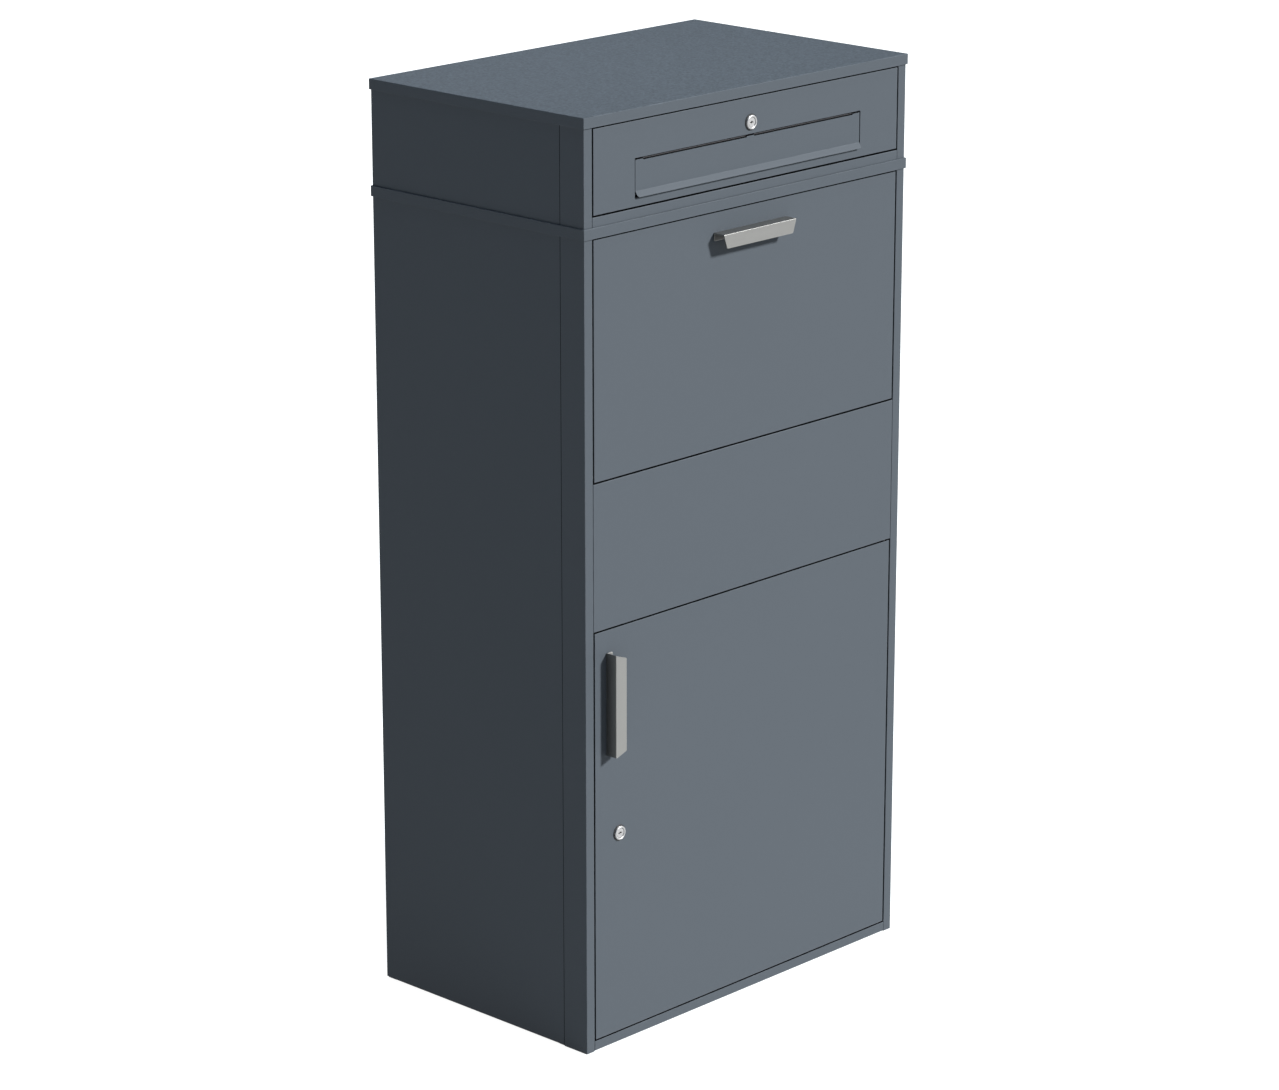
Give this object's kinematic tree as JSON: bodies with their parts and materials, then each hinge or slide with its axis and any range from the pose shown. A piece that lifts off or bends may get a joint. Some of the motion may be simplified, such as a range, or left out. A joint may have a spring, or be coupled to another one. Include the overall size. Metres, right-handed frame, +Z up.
{
  "type": "parcel drop box",
  "caption": "Sheet-steel parcel drop box with a tilting hopper, a lockable collection door below, and a letter box with a flap and a drop-down door on top.",
  "frame": {"origin": "centre of the base plate at floor level, which is also the centre of the floor-anchor pattern", "axes": "+Z up, -Y towards the front with the doors, +X to the right seen from the front"},
  "size_m": [0.7, 0.4587, 1.416],
  "materials": {
    "powder_coat": "fine-textured grey powder coat",
    "inner_coat": "grey powder coat",
    "brushed_handle": "brushed",
    "zinc_plate": "zinc plated",
    "lock_chrome": "polished",
    "dark_ring": "matt black",
    "nylon": "matt white",
    "rubber": "matt"
  },
  "bodies": {
    "cabinet": {"base_plate": "inner_coat", "side_panel_left": "powder_coat", "side_panel_right": "powder_coat", "back_panel": "powder_coat", "front_post_left": "powder_coat", "front_post_right": "powder_coat", "rear_posts": "inner_coat", "bottom_rail": "powder_coat", "middle_panel": "powder_coat", "header_rail": "powder_coat", "lower_lid": "powder_coat", "rear_deflector": "inner_coat", "door_hinge_pins": "zinc_plate", "hopper_pivot_pins": "zinc_plate", "hopper_buffers": "rubber", "door_buffers": "rubber", "mail_floor": "inner_coat", "mail_side_left": "powder_coat", "mail_side_right": "powder_coat", "mail_back": "powder_coat", "mail_post_left": "powder_coat", "mail_post_right": "powder_coat", "mail_rear_posts": "inner_coat", "mail_bottom_rail": "powder_coat", "mail_header": "powder_coat", "top_lid": "powder_coat", "mail_pivot_pins": "zinc_plate", "module_bolts": "zinc_plate", "module_nuts": "zinc_plate"},
    "hopper": {"hopper_front": "powder_coat", "hopper_tray": "inner_coat", "hopper_cheek_left": "inner_coat", "hopper_cheek_right": "inner_coat", "hopper_handle": "brushed_handle", "hopper_handle_screws": "zinc_plate", "hopper_bushes": "dark_ring"},
    "collection_door": {"collection_door": "powder_coat", "door_stiffener": "inner_coat", "door_handle": "brushed_handle", "door_handle_screws": "zinc_plate", "door_hinge_blocks": "zinc_plate", "door_lock_body": "lock_chrome", "door_lock_ring": "dark_ring", "door_lock_nut": "zinc_plate"},
    "door_lock": {"door_lock_plug": "lock_chrome", "door_lock_cam": "zinc_plate", "door_lock_screw": "zinc_plate"},
    "mail_door": {"mail_door": "powder_coat", "mail_lock_body": "lock_chrome", "mail_lock_ring": "dark_ring", "mail_lock_nut": "zinc_plate", "mail_bushes": "nylon", "flap_rod": "zinc_plate", "flap_brackets": "inner_coat"},
    "mail_lock": {"mail_lock_plug": "lock_chrome", "mail_lock_cam": "zinc_plate", "mail_lock_screw": "zinc_plate"},
    "letter_flap": {"letter_flap": "powder_coat"}
  },
  "joints": [
    {"name": "hopper_tilt", "type": "hinge", "parent": "cabinet", "child": "hopper", "pos_m": [0, -0.2117, 0.8901], "axis": [1, 0, 0], "range_deg": [0, 45]},
    {"name": "door_swing", "type": "hinge", "parent": "cabinet", "child": "collection_door", "pos_m": [0.3204, -0.2117, 0.336], "axis": [0, 0, 1], "range_deg": [0, 110]},
    {"name": "door_lock_turn", "type": "hinge", "parent": "collection_door", "child": "door_lock", "pos_m": [-0.278, -0.2177, 0.3342], "axis": [0, 1, 0], "range_deg": [0, 90]},
    {"name": "mail_door_drop", "type": "hinge", "parent": "cabinet", "child": "mail_door", "pos_m": [0, -0.2132, 1.2795], "axis": [1, 0, 0], "range_deg": [0, 90]},
    {"name": "mail_lock_turn", "type": "hinge", "parent": "mail_door", "child": "mail_lock", "pos_m": [0, -0.2177, 1.3608], "axis": [0, 1, 0], "range_deg": [0, 90]},
    {"name": "flap_swing", "type": "hinge", "parent": "mail_door", "child": "letter_flap", "pos_m": [0, -0.2143, 1.3409], "axis": [-1, 0, 0], "range_deg": [0, 75]}
  ]
}
